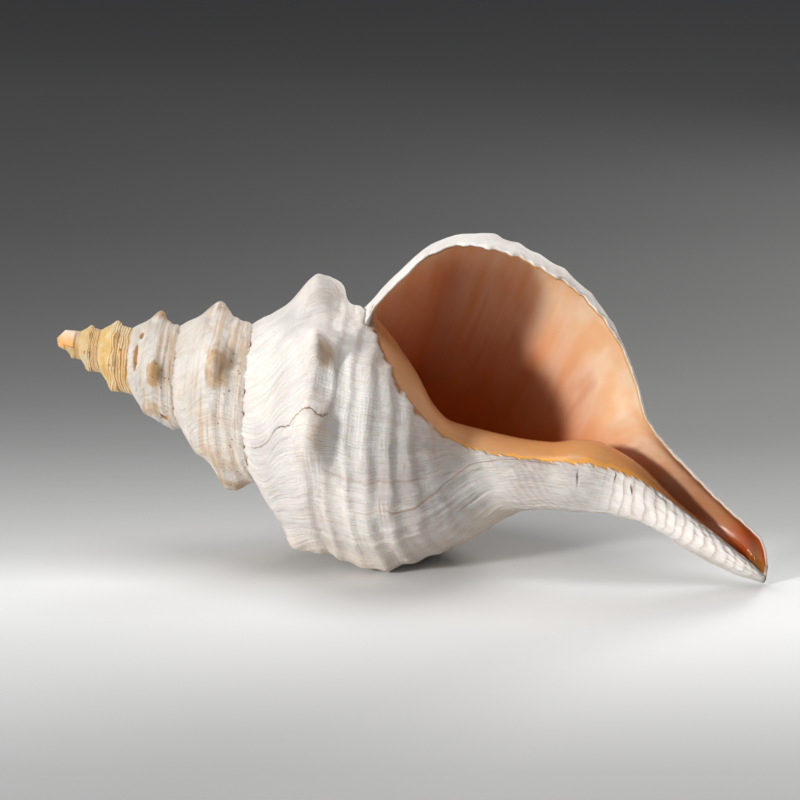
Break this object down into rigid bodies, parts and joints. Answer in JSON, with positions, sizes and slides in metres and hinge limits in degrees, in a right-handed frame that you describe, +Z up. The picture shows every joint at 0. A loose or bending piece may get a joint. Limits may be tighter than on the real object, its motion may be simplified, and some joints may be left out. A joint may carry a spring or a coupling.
{
  "type": "horse conch shell",
  "caption": "Large spindle-shaped sea snail shell with a knobbed spire, a wide flared mouth and a long bent canal, lying on its side with the mouth towards the front.",
  "frame": {"origin": "centre of the shell's bounding box in plan, at the level of the surface it lies on", "axes": "+X along the shell towards the canal's tip, +Z up, -Y the side that the mouth faces"},
  "size_m": [0.3602, 0.1592, 0.1678],
  "materials": {
    "shell": "chalky off-white lime with ochre and tan stains and worn brown pits outside, glossy orange to burnt brown inside the mouth"
  },
  "bodies": {
    "root": {"shell": "shell"}
  },
  "joints": []
}
